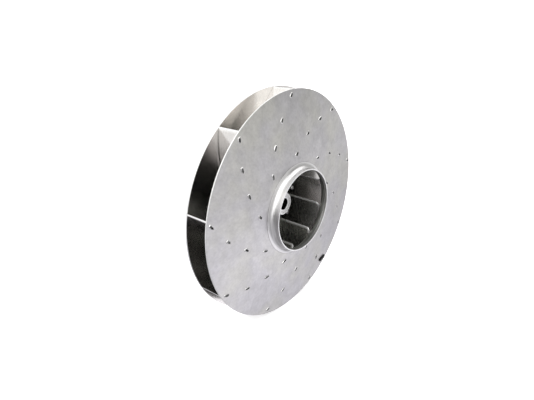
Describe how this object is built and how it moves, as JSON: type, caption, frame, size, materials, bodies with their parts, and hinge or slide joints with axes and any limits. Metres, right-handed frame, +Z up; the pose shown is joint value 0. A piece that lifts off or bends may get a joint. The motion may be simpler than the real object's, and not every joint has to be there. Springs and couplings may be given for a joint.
{
  "type": "centrifugal fan wheel",
  "caption": "Closed centrifugal fan wheel: backward curved sheet blades between a flat back plate and a conical shroud, with a spun inlet ring and a keyed hub.",
  "frame": {"origin": "middle of the hub bore, on the shaft axis", "axes": "+Z up, the shaft axis along Y, the inlet faces -Y and the back plate faces +Y"},
  "size_m": [0.56, 0.121, 0.56],
  "materials": {
    "satin_sheet": "satin stainless sheet with fine rolling grain",
    "blade_sheet": "satin stainless sheet, slightly duller and warmer",
    "spun_ring": "spun stainless with round polishing lines",
    "turned_steel": "turned steel with fine tool marks",
    "rivet_steel": "plain domed steel rivets",
    "dark_weight": "dark, heat stained steel strip"
  },
  "bodies": {
    "root": {"back_plate": "satin_sheet", "front_shroud": "satin_sheet", "inlet_ring": "spun_ring", "blade_1": "blade_sheet", "blade_2": "blade_sheet", "blade_3": "blade_sheet", "blade_4": "blade_sheet", "blade_5": "blade_sheet", "blade_6": "blade_sheet", "blade_7": "blade_sheet", "blade_8": "blade_sheet", "blade_9": "blade_sheet", "hub": "turned_steel", "hub_disc": "turned_steel", "rivet_1": "rivet_steel", "rivet_2": "rivet_steel", "rivet_3": "rivet_steel", "rivet_4": "rivet_steel", "rivet_5": "rivet_steel", "rivet_6": "rivet_steel", "rivet_7": "rivet_steel", "rivet_8": "rivet_steel", "balance_weight": "dark_weight"}
  },
  "joints": []
}
